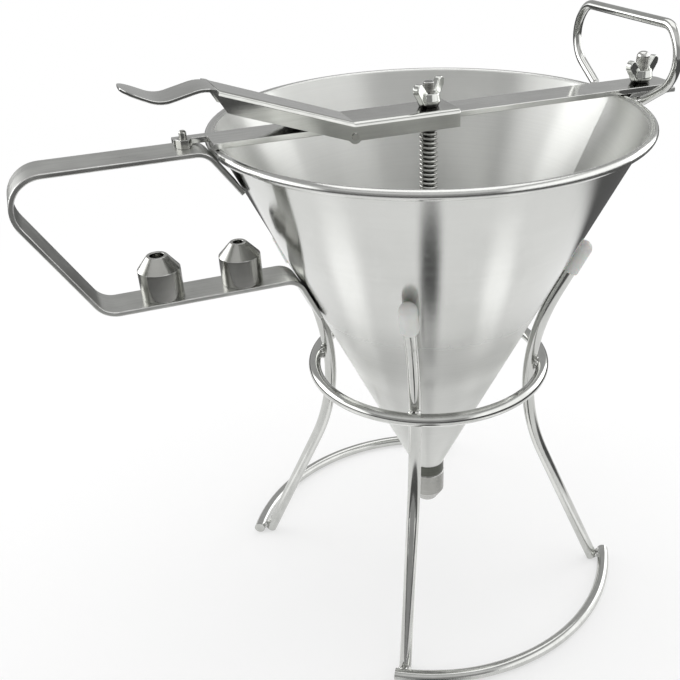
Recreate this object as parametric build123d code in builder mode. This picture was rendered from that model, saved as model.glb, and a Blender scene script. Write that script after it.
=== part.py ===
"""Confectionery funnel on a wire stand, with a thumb lever that lifts the outlet valve.

Millimetres. The origin is on the funnel's axis at table level, +Z is up, +X runs along the
crossbar to its clamped end and -X to the carrying handle.
"""
import math
import os

from build123d import *

os.makedirs("parts", exist_ok=True)

# Bowl: a sheet cone with a rolled rim
rim_radius = 95.0
rim_top = 241.7
bead_diameter = 4.0
bead_overlap = 0.4
sheet = 0.8
neck_radius = 8.6
neck_top = 60.5

# Spout collar with the valve seat and the thread for a nozzle
collar_radius = 8.7
collar_height = 6.8
outlet_radius = 4.4
seat_depth = 2.8
thread_radius = 6.5
thread_length = 7.0

# Nozzles: one on the spout and two kept on the handle, at shares of its lower run
nozzle_radius = 8.9
nozzle_length = 18.0
nozzle_skirt = 12.2
nozzle_tip_wall = 1.3
nozzle_land = 3.0
thread_runout = 1.0
outlet_hole = 8.0
large_spare_hole = 6.0
small_spare_hole = 4.4
large_spare_share = 0.3
small_spare_share = 0.713

# Handle: one bent strap, welded to the bowl at both ends
strap_width = 18.5
strap_thickness = 2.0
handle_beyond_rim = 78.3
finger_gap = 58.0
handle_lean = 30.0
handle_bend = 13.0
heel_bend = 10.0
pad_bend = 8.0
upper_pad_drop = 18.0
lower_pad_drop = 20.0

# Peg on the handle that the crossbar hooks behind
peg_beyond_rim = 9.5
peg_radius = 1.5
peg_rise = 6.8
pin_tip_round = 0.7
peg_nut_flats = 5.5
peg_nut_height = 3.6

# Crossbar
bar_width = 17.0
bar_thickness = 2.4
hook_beyond_peg = 3.5
bar_beyond_clamp = 13.0
bar_corner = 5.0
hook_length = 13.5

# Clamp at the crossbar's right end
clamp_beyond_rim = 11.5
stud_radius = 3.0
clamp_stud_rise = 13.4
clamp_head_radius = 4.5
clamp_head_height = 3.0
tab_width = 15.0
tab_thickness = 2.0
tab_beyond_clamp = 14.5
tab_pad_drop = 14.0
tab_bend = 4.0

# Wing nuts
hub_radius = 5.2
hub_foot_radius = 4.1
hub_top_radius = 4.6
hub_belly = 2.4
hub_height = 5.8
wing_thickness = 2.8
wing_root_radius = 2.6
wing_tip_radius = 2.4
wing_span = 22.4
wing_height = 10.6
dose_nut_turn = 37.0
clamp_nut_turn = 22.0

# Lever: an inverted channel that ends in a thumb rest
lever_plate = 1.3
lever_end_x = 10.2
lever_kink_x = -37.0
lever_rise = 19.0
lever_flange_depth = 7.5
lever_kink_bend = 3.0
flange_inside_rim = 2.0
flange_end_run = 5.2
hump_inside_rim = 0.5
hump_bend = 16.0
dip_run = 17.5
dip_drop = 4.0
dip_bend = 13.0
thumb_run = 13.7
thumb_tip_lift = 6.2
thumb_width = 18.0
thumb_tip_corner = 7.0
pivot_radius = 1.5
pivot_ear_radius = 2.9
pivot_overhang = 0.7
lever_tilt = 10.0

# Valve rod, its plug and its spring
rod_radius = 2.5
rod_rise = 10.1
rod_chamfer = 0.5
plug_radius = 6.6
plug_tip = 0.4
plug_skirt = 3.0
plug_taper = 4.5
plug_top_radius = 4.0
plug_socket = 5.0
spring_length = 45.0
spring_turns = 21
spring_mean_radius = 3.6
spring_wire = 1.1
spring_end_bend = 1.4
collar_ring_radius = 5.0
collar_ring_height = 4.0

# Hanging loop behind the clamp: half widths, and rises over the rim
loop_wire = 4.0
loop_foot = (19.0, -0.2)
loop_shoulder = (45.0, 15.5)
loop_corner = (31.5, 32.8)
loop_shoulder_bend = 14.5
loop_corner_bend = 8.5

# Stand
stand_rod = 6.0
first_leg_angle = -120.5
leg_names = ("front", "right", "back", "left")
foot_beyond_rim = 3.5
foot_arc_overrun = 4.0
leg_lean = 25.0
leg_bend = 110.0
leg_top = 184.0
ring_height = 123.0
cap_radius = 3.9
cap_cover = 12.0
cap_crown = 4.0

# Clearances
weld_gap = 0.1
bar_clearance = 0.3
seat_clearance = 0.2
cap_clearance = 0.3
stud_clearance = 0.4
hook_clearance = 0.4
guide_fit = 0.1
thread_fit = 0.05
press_fit = 0.02
lever_side_clearance = 0.7
lever_seat_clearance = 0.2
pivot_clearance = 0.3
rod_slot_clearance = 0.3

# Heights and places that several pieces share
bead_radius = bead_diameter / 2
bead_height = rim_top - bead_radius
bead_centre_radius = rim_radius - bead_radius
bowl_radius = rim_radius - bead_diameter + bead_overlap
cone_slope = (bowl_radius - neck_radius) / (bead_height - neck_top)
cone_lean = math.degrees(math.atan(cone_slope))
peg_x = -rim_radius - peg_beyond_rim
clamp_x = rim_radius + clamp_beyond_rim
bar_bottom = rim_top + bar_clearance
bar_top = bar_bottom + bar_thickness
lever_top = bar_top + lever_seat_clearance + lever_plate
lever_width = bar_width + 2 * (lever_side_clearance + lever_plate)
pivot_height = bar_bottom - pivot_clearance - pivot_radius
collar_bottom = neck_top - collar_height
rod_top = lever_top + rod_rise
spring_seat = bar_bottom - spring_length
stand_radius = stand_rod / 2


def cone_radius(z):
    """Outside radius of the bowl at a height."""
    return neck_radius + (z - neck_top) * cone_slope


def across_cone(distance):
    """Horizontal run of a distance measured square to the bowl's wall."""
    return distance / math.cos(math.radians(cone_lean))


def pad_path(mid_height, drop, thickness):
    """Lower end and top corner, as (radius, height), of a strap's pad.

    The pad's middle line leaves the bowl's wall at its lower end and passes just outside the rim.
    """
    foot_z = mid_height - drop
    foot_r = cone_radius(foot_z) + across_cone(thickness / 2 + weld_gap)
    bead_run = bead_centre_radius - foot_r
    bead_climb = bead_height - foot_z
    keep_off = bead_radius + weld_gap + thickness / 2
    lean = math.atan2(bead_run, bead_climb) + math.asin(keep_off / math.hypot(bead_run, bead_climb))
    return (foot_r, foot_z), (foot_r + drop * math.tan(lean), mid_height)


# Bowl
with BuildPart() as bowl:
    with BuildSketch(Plane.XZ):
        with BuildLine():
            sheet_top = bead_height + bead_radius / 2
            Polyline(
                (neck_radius - sheet, neck_top),
                (neck_radius, neck_top),
                (cone_radius(sheet_top), sheet_top),
                (cone_radius(sheet_top) - sheet, sheet_top),
                close=True,
            )
        make_face()
        with Locations((bead_centre_radius, bead_height)):
            Circle(bead_radius)
    revolve(axis=Axis.Z)
bowl.part.label = "funnel_bowl"
export_step(bowl.part, "parts/funnel_bowl.step")

# Spout collar
with BuildPart() as spout:
    with BuildSketch(Plane.XZ):
        with BuildLine():
            Polyline(
                (outlet_radius, collar_bottom - thread_length),
                (thread_radius, collar_bottom - thread_length),
                (thread_radius, collar_bottom),
                (collar_radius, collar_bottom),
                (collar_radius, neck_top),
                (outlet_radius + seat_depth, neck_top),
                (outlet_radius, neck_top - seat_depth),
                close=True,
            )
        make_face()
    revolve(axis=Axis.Z)
spout.part.label = "spout_collar"
export_step(spout.part, "parts/spout_collar.step")

# Handle strap, drawn along the middle of its thickness
strap_middle = bar_bottom - strap_thickness / 2
heel_middle = strap_middle - finger_gap - strap_thickness
heel_top = heel_middle + strap_thickness / 2
pad_foot, pad_corner = pad_path(strap_middle, upper_pad_drop, strap_thickness)
handle_turn = math.radians(90 + handle_lean)
handle_end_x = strap_thickness / 2 - rim_radius - handle_beyond_rim
handle_corner_x = handle_end_x + handle_bend * (1 - math.tan(handle_turn / 2))
heel_corner_x = handle_corner_x + (strap_middle - heel_middle) * math.tan(math.radians(handle_lean))
pad_offset = across_cone(strap_thickness / 2 + weld_gap)
lower_foot_z = heel_middle - lower_pad_drop
with BuildPart() as strap:
    with BuildLine(Plane.XZ) as strap_path:
        FilletPolyline(
            (-pad_foot[0], pad_foot[1]),
            (-pad_corner[0], pad_corner[1]),
            (handle_corner_x, strap_middle),
            (heel_corner_x, heel_middle),
            (-cone_radius(heel_middle) - pad_offset, heel_middle),
            (-cone_radius(lower_foot_z) - pad_offset, lower_foot_z),
            radius=(pad_bend, handle_bend, heel_bend, pad_bend),
        )
    with BuildSketch(Plane(strap_path.line @ 0, x_dir=(0, 1, 0), z_dir=strap_path.line % 0)):
        Rectangle(strap_width, strap_thickness)
    sweep(path=strap_path.line)
    with BuildSketch(Plane.XY.offset(bar_bottom)):
        with Locations((peg_x, 0)):
            Circle(peg_radius + press_fit)
    extrude(amount=-strap_thickness, mode=Mode.SUBTRACT)
strap.part.label = "handle_strap"
export_step(strap.part, "parts/handle_strap.step")

# Studs on the handle for the spare nozzles
lower_run = -cone_radius(heel_middle) - heel_corner_x
large_spare_x = heel_corner_x + large_spare_share * lower_run
small_spare_x = heel_corner_x + small_spare_share * lower_run
stud_places = {"large_spare_stud": large_spare_x, "small_spare_stud": small_spare_x}
for name, x in stud_places.items():
    with BuildPart() as spare_stud:
        with BuildSketch(Plane((x, 0, heel_top))):
            Circle(thread_radius)
        extrude(amount=thread_length)
    spare_stud.part.label = name
    export_step(spare_stud.part, f"parts/{name}.step")

# Nozzles, each drawn from its open end to its tip
hanging = (0, 1, 0)
standing = (0, -1, 0)
nozzles = {
    "outlet_nozzle": ((0, 0, collar_bottom), hanging, outlet_hole),
    "large_spare_nozzle": ((large_spare_x, 0, heel_top), standing, large_spare_hole),
    "small_spare_nozzle": ((small_spare_x, 0, heel_top), standing, small_spare_hole),
}
nozzle_bore = thread_radius + thread_fit
for name, (seat, facing, hole) in nozzles.items():
    plane = Plane(seat, x_dir=(1, 0, 0), z_dir=facing)
    with BuildPart() as nozzle:
        with BuildSketch(plane):
            with BuildLine():
                Polyline(
                    (nozzle_bore, 0),
                    (nozzle_radius, 0),
                    (nozzle_radius, nozzle_skirt),
                    (hole / 2 + nozzle_tip_wall, nozzle_length),
                    (hole / 2, nozzle_length),
                    (hole / 2, nozzle_length - nozzle_land),
                    (nozzle_bore, thread_length + thread_runout),
                    close=True,
                )
            make_face()
        revolve(axis=Axis(plane.origin, plane.y_dir))
    nozzle.part.label = name
    export_step(nozzle.part, f"parts/{name}.step")

# Peg riveted through the handle, with its nut
with BuildPart() as peg:
    with BuildSketch(Plane.XY.offset(bar_bottom - strap_thickness)):
        with Locations((peg_x, 0)):
            Circle(peg_radius)
    extrude(amount=strap_thickness + peg_rise)
    fillet(peg.faces().sort_by(Axis.Z)[-1].edges(), peg_radius * pin_tip_round)
peg.part.label = "handle_peg"
export_step(peg.part, "parts/handle_peg.step")

with BuildPart() as peg_nut:
    with BuildSketch(Plane((peg_x, 0, bar_bottom))):
        RegularPolygon(peg_nut_flats / 2, 6, major_radius=False)
        Circle(peg_radius + press_fit, mode=Mode.SUBTRACT)
    extrude(amount=peg_nut_height)
peg_nut.part.label = "peg_nut"
export_step(peg_nut.part, "parts/peg_nut.step")

# Clamp tab: a bent strap with an open slot for the clamp stud
tab_middle = bar_bottom - tab_thickness / 2
tab_foot, tab_corner = pad_path(tab_middle, tab_pad_drop, tab_thickness)
tab_end = (clamp_x + tab_beyond_clamp, tab_middle)
slot_width = 2 * (stud_radius + stud_clearance)
with BuildPart() as tab:
    with BuildLine(Plane.XZ) as tab_path:
        FilletPolyline(tab_foot, tab_corner, tab_end, radius=tab_bend)
    with BuildSketch(Plane(tab_path.line @ 0, x_dir=(0, 1, 0), z_dir=tab_path.line % 0)):
        Rectangle(tab_width, tab_thickness)
    sweep(path=tab_path.line)
    with BuildSketch(Plane.XY.offset(bar_bottom)):
        with Locations((clamp_x, 0)):
            Circle(slot_width / 2)
            Rectangle(tab_beyond_clamp, slot_width, align=(Align.MIN, Align.CENTER))
    extrude(amount=-tab_thickness, mode=Mode.SUBTRACT)
tab.part.label = "clamp_tab"
export_step(tab.part, "parts/clamp_tab.step")

# Clamp stud, with its head under the tab
with BuildPart() as clamp_stud:
    with BuildSketch(Plane((clamp_x, 0, bar_bottom - tab_thickness))):
        Circle(clamp_head_radius)
    extrude(amount=-clamp_head_height)
    with BuildSketch(Plane((clamp_x, 0, bar_bottom - tab_thickness))):
        Circle(stud_radius)
    extrude(amount=tab_thickness + bar_thickness + clamp_stud_rise)
    fillet(clamp_stud.faces().sort_by(Axis.Z)[-1].edges(), stud_radius * pin_tip_round)
clamp_stud.part.label = "clamp_stud"
export_step(clamp_stud.part, "parts/clamp_stud.step")

# Hanging loop, standing against the outside of the rim
loop_x = math.sqrt(rim_radius**2 - loop_foot[0] ** 2) + loop_wire / 2 + weld_gap
loop_points = [(y, rim_top + rise) for y, rise in (loop_foot, loop_shoulder, loop_corner)]
mirrored_points = [(-y, z) for y, z in reversed(loop_points)]
with BuildPart() as loop:
    with BuildLine(Plane.YZ.offset(loop_x)) as loop_path:
        FilletPolyline(
            *loop_points,
            *mirrored_points,
            radius=(loop_shoulder_bend, loop_corner_bend, loop_corner_bend, loop_shoulder_bend),
        )
    with BuildSketch(Plane(loop_path.line @ 0, z_dir=loop_path.line % 0)):
        Circle(loop_wire / 2)
    sweep(path=loop_path.line)
loop.part.label = "hanging_loop"
export_step(loop.part, "parts/hanging_loop.step")

# Crossbar: a hook at the handle, with plain holes for the rod and the clamp stud
bar_left = peg_x - hook_beyond_peg
bar_length = clamp_x + bar_beyond_clamp - bar_left
peg_nut_radius = peg_nut_flats / math.sqrt(3)
hook_face = peg_nut_radius + hook_clearance
with BuildPart() as crossbar:
    with BuildSketch(Plane.XY.offset(bar_bottom)) as bar_outline:
        with Locations((bar_left, 0)):
            Rectangle(bar_length, bar_width, align=(Align.MIN, Align.CENTER))
        fillet(bar_outline.vertices().group_by(Axis.X)[-1], bar_corner)
        with Locations((bar_left, hook_face)):
            Rectangle(hook_length, bar_width, align=(Align.MIN, Align.MAX), mode=Mode.SUBTRACT)
        Circle(rod_radius + guide_fit, mode=Mode.SUBTRACT)
        with Locations((clamp_x, 0)):
            Circle(stud_radius + stud_clearance, mode=Mode.SUBTRACT)
    extrude(amount=bar_thickness)
crossbar.part.label = "crossbar"
export_step(crossbar.part, "parts/crossbar.step")

# Wing nuts: the dose nut on the valve rod and the nut of the clamp
wing_nuts = {
    "dose_wing_nut": ((0, 0, lever_top), rod_radius, dose_nut_turn),
    "clamp_wing_nut": ((clamp_x, 0, bar_top), stud_radius, clamp_nut_turn),
}
wing_tip_reach = wing_span / 2 - wing_tip_radius
on_seat = (Align.CENTER, Align.CENTER, Align.MIN)
for name, (seat, thread, turn) in wing_nuts.items():
    nut_plane = Plane(seat).rotated((0, 0, turn))
    wing_plane = Plane(seat, x_dir=nut_plane.x_dir, z_dir=-nut_plane.y_dir)
    with BuildPart() as wing_nut:
        with Locations(nut_plane):
            Cone(hub_foot_radius, hub_radius, hub_belly, align=on_seat)
        with Locations(nut_plane.offset(hub_belly)):
            Cone(hub_radius, hub_top_radius, hub_height - hub_belly, align=on_seat)
        for side in (-1, 1):
            with BuildSketch(wing_plane):
                with Locations((side * (hub_radius - wing_root_radius / 2), hub_height - wing_root_radius)):
                    Circle(wing_root_radius)
                with Locations((side * wing_tip_reach, wing_height - wing_tip_radius)):
                    Circle(wing_tip_radius)
                make_hull()
            extrude(amount=wing_thickness / 2, both=True)
        with BuildSketch(nut_plane):
            Circle(thread + thread_fit)
        extrude(amount=wing_height, mode=Mode.SUBTRACT)
    wing_nut.part.label = name
    export_step(wing_nut.part, f"parts/{name}.step")

# Lever: the plate follows its side view and the flanges hang from its straight parts
rise = math.radians(lever_rise)
plate_middle = lever_top - lever_plate / 2
flange_top_x = flange_inside_rim - rim_radius
flange_foot_x = flange_top_x + flange_end_run
hump_x = hump_inside_rim - rim_radius
dip_x = hump_x - dip_run
thumb_tip_x = dip_x - thumb_run


def rise_height(x, below_top):
    """Height, on the rising part, of a line that lies this far under its top face."""
    return lever_top + (lever_kink_x - x) * math.tan(rise) - below_top / math.cos(rise)


hump_z = rise_height(hump_x, lever_plate / 2)
dip_z = hump_z - dip_drop
flange_bottom = lever_top - lever_flange_depth
flange_kink_x = lever_kink_x - lever_flange_depth * math.tan(rise / 2)
flange_inner = lever_width / 2 - lever_plate
tilt = math.radians(lever_tilt)
slot_reach = (lever_top - pivot_height) * math.sin(tilt) - lever_kink_x * (1 - math.cos(tilt))
slot_radius = rod_radius + rod_slot_clearance
with BuildPart() as lever:
    with BuildLine(Plane.XZ) as lever_path:
        FilletPolyline(
            (lever_end_x, plate_middle),
            (lever_kink_x, plate_middle),
            (hump_x, hump_z),
            (dip_x, dip_z),
            (thumb_tip_x, dip_z + thumb_tip_lift),
            radius=(lever_kink_bend, hump_bend, dip_bend),
        )
    with BuildSketch(Plane(lever_path.line @ 0, x_dir=(0, 1, 0), z_dir=lever_path.line % 0)):
        Rectangle(lever_width, lever_plate)
    sweep(path=lever_path.line)
    with BuildSketch(Plane.XY.offset(flange_bottom)) as lever_outline:
        with Locations((lever_end_x, 0)):
            Rectangle(lever_end_x - flange_top_x, lever_width, align=(Align.MAX, Align.CENTER))
        with Locations((lever_end_x, 0)):
            Rectangle(lever_end_x - thumb_tip_x, thumb_width, align=(Align.MAX, Align.CENTER))
        fillet(lever_outline.vertices().group_by(Axis.X)[0], thumb_tip_corner)
        with Locations((0, 0), (slot_reach, 0)):
            Circle(slot_radius, mode=Mode.SUBTRACT)
        Rectangle(slot_reach, 2 * slot_radius, align=(Align.MIN, Align.CENTER), mode=Mode.SUBTRACT)
    extrude(amount=hump_z - flange_bottom + hump_bend, mode=Mode.INTERSECT)
    for side in (-1, 1):
        with BuildSketch(Plane.XZ.offset(side * flange_inner)):
            with BuildLine():
                Polyline(
                    (lever_end_x, plate_middle),
                    (lever_kink_x, plate_middle),
                    (flange_top_x, rise_height(flange_top_x, lever_plate / 2)),
                    (flange_foot_x, rise_height(flange_foot_x, lever_flange_depth)),
                    (flange_kink_x, flange_bottom),
                    (lever_end_x, flange_bottom),
                    close=True,
                )
            make_face()
            with Locations((lever_kink_x, pivot_height)):
                Circle(pivot_ear_radius)
        extrude(amount=side * lever_plate)
    with BuildSketch(Plane.XZ):
        with Locations((lever_kink_x, pivot_height)):
            Circle(pivot_radius + press_fit)
    extrude(amount=lever_width, both=True, mode=Mode.SUBTRACT)
lever.part.label = "lever"
export_step(lever.part, "parts/lever.step")

# Lever pivot, under the crossbar
with BuildPart() as pivot:
    with BuildSketch(Plane.XZ):
        with Locations((lever_kink_x, pivot_height)):
            Circle(pivot_radius)
    extrude(amount=lever_width / 2 + pivot_overhang, both=True)
pivot.part.label = "lever_pivot"
export_step(pivot.part, "parts/lever_pivot.step")

# Valve rod
seat_bottom = neck_top - seat_depth
plug_bottom = seat_bottom - plug_tip
plug_run = math.sqrt(2) * seat_clearance
plug_tip_radius = outlet_radius - plug_tip - plug_run
plug_edge = plug_bottom + plug_radius - plug_tip_radius
plug_top = plug_edge + plug_skirt + plug_taper
with BuildPart() as rod:
    with BuildSketch(Plane.XY.offset(plug_top - plug_socket)):
        Circle(rod_radius)
    extrude(amount=rod_top - plug_top + plug_socket)
    chamfer(rod.faces().sort_by(Axis.Z)[-1].edges(), rod_chamfer)
rod.part.label = "valve_rod"
export_step(rod.part, "parts/valve_rod.step")

# Valve plug, with a cone that closes on the collar's seat
with BuildPart() as plug:
    with BuildSketch(Plane.XZ):
        with BuildLine():
            Polyline(
                (0, plug_bottom),
                (plug_tip_radius, plug_bottom),
                (plug_radius, plug_edge),
                (plug_radius, plug_edge + plug_skirt),
                (plug_top_radius, plug_top),
                (rod_radius + press_fit, plug_top),
                (rod_radius + press_fit, plug_top - plug_socket),
                (0, plug_top - plug_socket),
                close=True,
            )
        make_face()
    revolve(axis=Axis.Z)
plug.part.label = "valve_plug"
export_step(plug.part, "parts/valve_plug.step")

# Collar on the rod that the spring presses
with BuildPart() as collar_ring:
    with BuildSketch(Plane.XY.offset(spring_seat)):
        Circle(collar_ring_radius)
        Circle(rod_radius + press_fit, mode=Mode.SUBTRACT)
    extrude(amount=-collar_ring_height)
collar_ring.part.label = "spring_collar"
export_step(collar_ring.part, "parts/spring_collar.step")

# Spring between that collar and the crossbar: one wire whose ends stand square on both
end_rise = spring_wire + spring_end_bend
spring_pitch = (spring_length - 2 * end_rise) / spring_turns
climb = math.atan(spring_pitch / (2 * math.pi * spring_mean_radius))


def helix_point(half_turn):
    """Point of the spring's middle line after a number of half turns."""
    angle = math.pi * half_turn
    z = spring_seat + end_rise + spring_pitch * half_turn / 2
    return Vector(spring_mean_radius * math.cos(angle), spring_mean_radius * math.sin(angle), z)


def helix_tangent(half_turn, slope=climb):
    """Unit tangent of the spring's middle line after a number of half turns."""
    angle = math.pi * half_turn
    flat = math.cos(slope)
    return Vector(-math.sin(angle) * flat, math.cos(angle) * flat, math.sin(slope))


def biarc(start, start_tangent, end, end_tangent):
    """Two tangent arcs that leave and arrive along the given unit tangents."""
    span = end - start
    bend = 2 - 2 * start_tangent.dot(end_tangent)
    run = span.dot(start_tangent + end_tangent)
    reach = (math.sqrt(run * run + bend * span.dot(span)) - run) / bend
    leave = start + start_tangent * reach
    arrive = end - end_tangent * reach
    middle = (leave + arrive) * 0.5
    TangentArc(start, middle, tangent=start_tangent)
    TangentArc(middle, end, tangent=arrive - leave)


upright = Vector(0, 0, 1)
half_turns = 2 * spring_turns
first_end = helix_point(0) - (helix_tangent(0, 0) + upright) * spring_end_bend
last_end = helix_point(half_turns) + (helix_tangent(half_turns, 0) + upright) * spring_end_bend
with BuildPart() as spring:
    with BuildLine() as spring_path:
        Line(first_end - upright * spring_wire, first_end)
        biarc(first_end, upright, helix_point(0), helix_tangent(0))
        for step in range(half_turns):
            biarc(helix_point(step), helix_tangent(step), helix_point(step + 1), helix_tangent(step + 1))
        biarc(helix_point(half_turns), helix_tangent(half_turns), last_end, upright)
        Line(last_end, last_end + upright * spring_wire)
    with BuildSketch(Plane(first_end - upright * spring_wire)):
        Circle(spring_wire / 2)
    sweep(path=spring_path.line)
spring.part.label = "spring"
export_step(spring.part, "parts/spring.step")

# Least gap of the spring's wire to itself, between points at least half a turn apart
points_per_turn = 24
sample_count = points_per_turn * (spring_turns + 1)
spring_wire_line = spring_path.wires()[0]
samples = [spring_wire_line @ (i / sample_count) for i in range(sample_count + 1)]
least_gap = min(
    (samples[i] - samples[j]).length - spring_wire
    for i in range(len(samples))
    for j in range(i + points_per_turn // 2, len(samples))
)
wire_volume = math.pi * (spring_wire / 2) ** 2 * spring_wire_line.length
print(f"spring: least gap {least_gap:.2f}, volume {spring.part.volume:.1f} of {wire_volume:.1f}")

# Stand: where a leg's two straight runs meet, in its own upright plane of radius and height
foot_arc_radius = rim_radius + foot_beyond_rim
lean = math.radians(leg_lean)
rod_pitch = 2 * stand_radius + weld_gap
weld_r = foot_arc_radius - rod_pitch * math.cos(lean)
weld_z = stand_radius - rod_pitch * math.sin(lean)
foot_z = stand_radius * math.sin(lean)
foot_r = weld_r - (foot_z - weld_z) * math.tan(lean)
cap_offset = across_cone(cap_radius + cap_clearance)
leg_reach = foot_r + foot_z * math.tan(lean)
waist_z = (leg_reach - cone_radius(0) - cap_offset) / (cone_slope + math.tan(lean))
waist_r = cone_radius(waist_z) + cap_offset
top_r = cone_radius(leg_top) + cap_offset

# Leg radius at the ring, from the centre of the leg's bend
bend_tangent = leg_bend * math.tan((lean + math.radians(cone_lean)) / 2)
bend_r = waist_r + bend_tangent * math.sin(lean) + leg_bend * math.cos(lean)
bend_z = waist_z - bend_tangent * math.cos(lean) + leg_bend * math.sin(lean)
leg_radius_at_ring = bend_r - math.sqrt(leg_bend**2 - (ring_height - bend_z) ** 2)
ring_radius = leg_radius_at_ring + rod_pitch

with BuildPart() as ring:
    with BuildSketch(Plane.XZ):
        with Locations((ring_radius, ring_height)):
            Circle(stand_radius)
    revolve(axis=Axis.Z)
ring.part.label = "stand_ring"
export_step(ring.part, "parts/stand_ring.step")

# Legs and their plastic tip caps
for number, side in enumerate(leg_names):
    angle = math.radians(first_leg_angle + 90 * number)
    outward = (math.cos(angle), math.sin(angle), 0)
    sideways = (math.sin(angle), -math.cos(angle), 0)
    leg_plane = Plane((0, 0, 0), x_dir=outward, z_dir=sideways)
    with BuildPart() as leg:
        with BuildLine(leg_plane) as leg_path:
            FilletPolyline((foot_r, foot_z), (waist_r, waist_z), (top_r, leg_top), radius=leg_bend)
        with BuildSketch(Plane(leg_path.line @ 0, z_dir=leg_path.line % 0)):
            Circle(stand_radius)
        sweep(path=leg_path.line)
    leg.part.label = f"stand_leg_{side}"
    export_step(leg.part, f"parts/stand_leg_{side}.step")

    tip = leg_path.line @ 1
    along = leg_path.line % 1
    cap_plane = Plane(tip, x_dir=along.cross(Vector(*sideways)), z_dir=sideways)
    with BuildPart() as cap:
        with BuildSketch(cap_plane):
            with BuildLine():
                Polyline(
                    (0, cap_crown),
                    (0, press_fit),
                    (stand_radius + press_fit, press_fit),
                    (stand_radius + press_fit, -cap_cover),
                    (cap_radius, -cap_cover),
                    (cap_radius, cap_crown - cap_radius),
                )
                RadiusArc((cap_radius, cap_crown - cap_radius), (0, cap_crown), -cap_radius)
            make_face()
        revolve(axis=Axis(tip, along))
    cap.part.label = f"tip_cap_{side}"
    export_step(cap.part, f"parts/tip_cap_{side}.step")

# Foot arcs: each joins two legs along the table and runs a little past both
overrun = math.degrees(foot_arc_overrun / foot_arc_radius)
foot_arcs = {"foot_arc_front": first_leg_angle, "foot_arc_back": first_leg_angle + 180}
for name, start in foot_arcs.items():
    with BuildPart() as foot_arc:
        with BuildLine(Plane.XY.offset(stand_radius)) as arc_path:
            CenterArc((0, 0), foot_arc_radius, start - overrun, 90 + 2 * overrun)
        with BuildSketch(Plane(arc_path.line @ 0, z_dir=arc_path.line % 0)):
            Circle(stand_radius)
        sweep(path=arc_path.line)
    foot_arc.part.label = name
    export_step(foot_arc.part, f"parts/{name}.step")
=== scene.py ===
"""Confectionery funnel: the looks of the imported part, in metres, in the part's own frame."""
import math

import bmesh
import bpy
from mathutils import Matrix, Vector


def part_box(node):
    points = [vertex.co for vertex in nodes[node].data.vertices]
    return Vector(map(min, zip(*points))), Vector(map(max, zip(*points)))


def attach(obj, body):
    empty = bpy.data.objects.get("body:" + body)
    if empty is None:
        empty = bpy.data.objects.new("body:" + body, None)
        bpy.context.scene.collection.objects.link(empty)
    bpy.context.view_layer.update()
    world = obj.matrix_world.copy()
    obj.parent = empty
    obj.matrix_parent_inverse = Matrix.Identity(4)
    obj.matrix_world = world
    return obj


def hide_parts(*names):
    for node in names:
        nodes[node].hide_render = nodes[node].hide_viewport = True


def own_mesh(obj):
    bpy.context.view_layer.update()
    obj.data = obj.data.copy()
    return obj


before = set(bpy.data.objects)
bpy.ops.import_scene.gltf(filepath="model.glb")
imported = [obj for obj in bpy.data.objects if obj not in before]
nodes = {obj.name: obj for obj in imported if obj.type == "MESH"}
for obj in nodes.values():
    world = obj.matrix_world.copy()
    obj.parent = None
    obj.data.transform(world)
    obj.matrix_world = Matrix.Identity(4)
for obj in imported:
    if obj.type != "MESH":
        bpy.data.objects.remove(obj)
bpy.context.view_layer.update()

# Stand: a ring, four bent legs and two foot arcs of round stainless rod.
# The rod is bright drawn and bent cold, and every crossing is resistance-welded, which leaves
# small bright beads beside the joint.

mm = 0.001


def heights(node):
    """The lowest and the highest point of a CAD node, in millimetres to three places."""
    return [round(corner.z / mm, 3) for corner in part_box(node)]


leg_count = 4
first_leg_angle = math.radians(-120.5)
ring_height = sum(heights("stand_ring")) / 2 * mm
ring_joint_radius = 53.4 * mm
foot_joint_height = 3.4 * mm
foot_joint_radius = 95.5 * mm
rod_tones = ((0.53, 0.535, 0.515), (0.63, 0.635, 0.615))
rod_roughness = (0.07, 0.14)
rod_lines = (300, 300, 60)
rod_relief = 0.004


def add_node(tree, kind, inputs=None, **settings):
    """A new node in a tree, with its settings made and its inputs set or linked."""
    made = tree.nodes.new(kind)
    for key, value in settings.items():
        setattr(made, key, value)
    for key, value in (inputs or {}).items():
        if isinstance(value, bpy.types.NodeSocket):
            tree.links.new(value, made.inputs[key])
        else:
            made.inputs[key].default_value = value
    return made


def calc(tree, operation, *values):
    """The outcome of a calculation with numbers or sockets."""
    return add_node(tree, "ShaderNodeMath", dict(enumerate(values)), operation=operation).outputs[0]


def vector_calc(tree, operation, *values):
    """The outcome of a calculation with vectors: a number for a length or a dot product."""
    made = add_node(tree, "ShaderNodeVectorMath", dict(enumerate(values)), operation=operation)
    return made.outputs["Value" if operation in ("LENGTH", "DOT_PRODUCT") else "Vector"]


def coordinates(tree, kind="Object"):
    """The coordinates that a finish is drawn in."""
    return add_node(tree, "ShaderNodeTexCoord").outputs[kind]


def noise(tree, place, scale, detail=2.0, roughness=0.5):
    """Noise at a place, from 0 to 1."""
    inputs = {"Vector": place, "Scale": scale, "Detail": detail, "Roughness": roughness}
    return add_node(tree, "ShaderNodeTexNoise", inputs).outputs[0]


def ramp(tree, value, ends=(0.0, 1.0), levels=(0.0, 1.0), smooth=False):
    """A number that goes from one level to the other while a value goes from one end to the other."""
    inputs = {"Value": value, "From Min": ends[0], "From Max": ends[1]}
    inputs.update({"To Min": levels[0], "To Max": levels[1]})
    kind = "SMOOTHSTEP" if smooth else "LINEAR"
    return add_node(tree, "ShaderNodeMapRange", inputs, interpolation_type=kind).outputs[0]


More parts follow.
